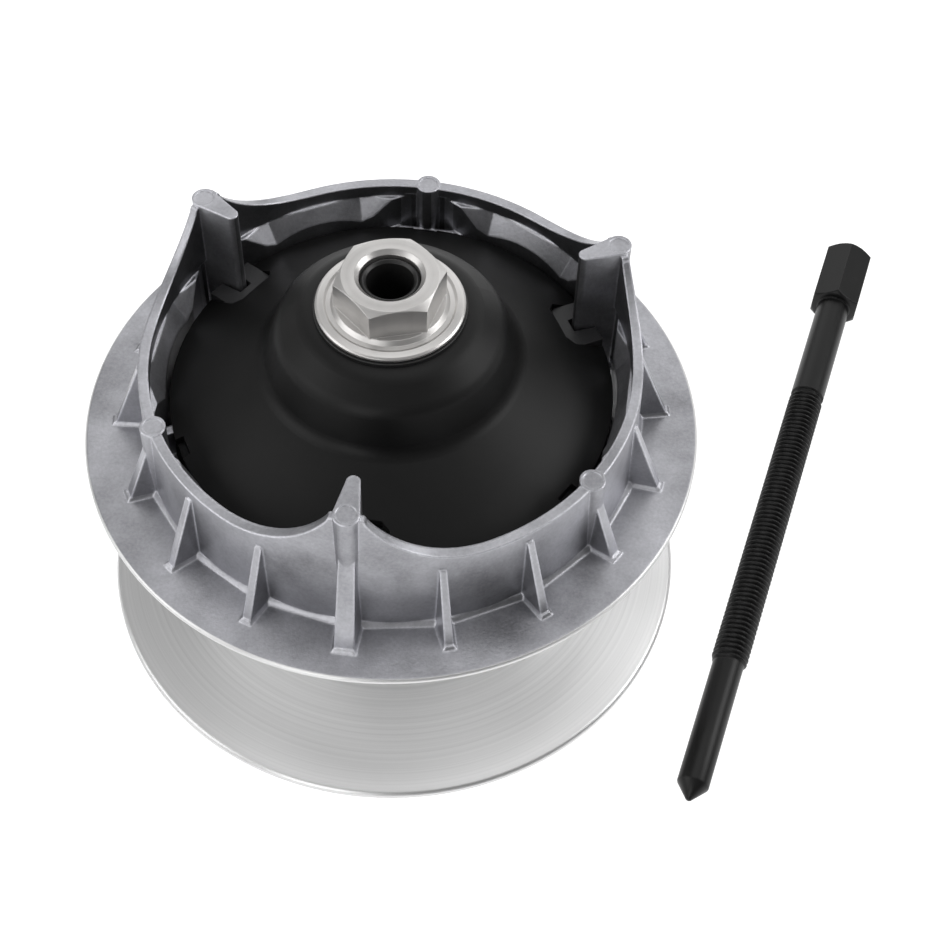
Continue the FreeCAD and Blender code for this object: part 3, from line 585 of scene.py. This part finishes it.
def puller_bolt():
    """Puller bolt with a real helical thread, a turned pilot and a chamfered hexagon head."""
    placement = bolt_placement()
    bm = bmesh.new()
    rings = []
    for station, radii in bolt_stations():
        ring = []
        for k, radius in enumerate(radii):
            angle = 2 * math.pi * k / BOLT_CORNERS
            corner = Vector((radius * math.cos(angle), radius * math.sin(angle), station))
            ring.append(bm.verts.new(placement @ corner))
        rings.append(ring)
    skin_rings(bm, rings)
    for face in bm.faces:
        face.smooth = True
    for edge in bm.edges:
        if len(edge.link_faces) == 2 and edge.calc_face_angle() > math.radians(CREASE_DEGREES):
            edge.smooth = False
    oxide = black_material("bolt_black_oxide", 0.005, 0.34, 1300.0, 0.05,
                           edge=0.25, shine=0.26, wear_and_highlight=0.35)
    item = object_from(bm, "puller_bolt_threaded", oxide, "puller")
    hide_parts("puller_bolt")


# ---------------------------------------------------------------- camera, lights, floor

def place_camera():
    """Viewpoint above the front, looking down at the pulley and its bolt."""
    sensor_width = 36.0
    lens = 66.52
    elevation = math.radians(53.45)
    roll = math.radians(2.317)
    target = Vector((27.72, 34.6, 0.0)) * MM
    distance = 659.64 * MM
    back = Vector((0.0, -math.cos(elevation), math.sin(elevation)))
    right = Vector((1.0, 0.0, 0.0))
    above = back.cross(right)
    side = right * math.cos(roll) + above * math.sin(roll)
    top = -right * math.sin(roll) + above * math.cos(roll)
    data = bpy.data.cameras.new("camera")
    data.lens = lens
    data.sensor_width = sensor_width
    data.clip_start = 0.01
    camera = bpy.data.objects.new("camera", data)
    bpy.context.scene.collection.objects.link(camera)
    turn = Matrix((side, top, back)).transposed().to_4x4()
    camera.matrix_world = Matrix.Translation(target + back * distance) @ turn
    bpy.context.scene.camera = camera


# Soft boxes that all aim at the middle of the pulley: place and size in metres, power in watts.
SOFT_BOXES = (
    ("key", (-0.95, -0.30, 0.60), (0.9, 0.7), 3.8),
    ("fill", (0.85, 0.10, 0.65), (0.6, 0.5), 3.5),
    ("back", (0.1, 1.0, 0.7), (1.8, 0.7), 3.8),
    ("top", (0.05, 0.2, 1.6), (1.3, 1.1), 4.6),
    ("front", (-0.45, -1.1, 0.55), (0.6, 0.7), 3.2),
)
LIGHT_AIM = Vector((0.0, 0.0, 0.08))


def soft_light(name, place, size, power):
    data = bpy.data.lights.new(name, "AREA")
    data.shape = "RECTANGLE"
    data.size, data.size_y = size
    data.energy = power
    lamp = bpy.data.objects.new(name, data)
    bpy.context.scene.collection.objects.link(lamp)
    lamp.location = place
    direction = LIGHT_AIM - Vector(place)
    lamp.rotation_euler = direction.to_track_quat("-Z", "Y").to_euler()


def studio_dome():
    """World that is brightest overhead and behind the object, in soft patches."""
    world = bpy.data.worlds.new("studio")
    world.use_nodes = True
    tree = world.node_tree
    background = tree.nodes["Background"]
    way = add_node(tree, "ShaderNodeTexCoord").outputs["Generated"]
    _, y, z = split(tree, way)
    lean = weighted(tree, (z, 0.75), (y, 0.55))
    shade = math_node(tree, "ADD", lean, 0.45, clamp=True)
    patches = noise(tree, way, 1.7, detail=1.0)
    shade = math_node(tree, "MULTIPLY", shade, remap(tree, patches, 0.45, 1.35))
    dome = ramp(tree, shade, [(0.0, grey(0.08)), (0.45, grey(0.40)), (1.0, grey(1.0))])
    tree.links.new(dome, background.inputs["Color"])
    background.inputs["Strength"].default_value = 0.50
    bpy.context.scene.world = world


def light_scene():
    """White studio: a soft dome and five large soft boxes."""
    bpy.context.scene.view_settings.view_transform = "Standard"
    studio_dome()
    for name, place, size, power in SOFT_BOXES:
        soft_light(name, place, size, power)


def lay_floor():
    """Large white floor just under the object, lit evenly like a light table."""
    gap = 0.2 * MM
    bpy.ops.mesh.primitive_plane_add(size=12.0, location=(0, 0, CAD_BOX[0][2] - gap))
    floor = bpy.context.object
    floor.name = "floor"
    material, tree, surface = new_material("pale_floor")
    cloud = noise(tree, object_point(tree), 3.0)
    pale = ramp(tree, cloud, [(0.3, grey(0.28)), (0.7, grey(0.31))])
    tree.links.new(pale, surface.inputs["Base Color"])
    surface.inputs["Roughness"].default_value = 0.9
    surface.inputs["Specular IOR Level"].default_value = 0.0
    surface.inputs["Emission Color"].default_value = (1.0, 1.0, 1.0, 1.0)
    surface.inputs["Emission Strength"].default_value = 0.98
    floor.data.materials.append(material)


# ---------------------------------------------------------------- the scene

spring_look = paint_nodes()
coil_spring(spring_look)
puller_bolt()
place_camera()
light_scene()
lay_floor()
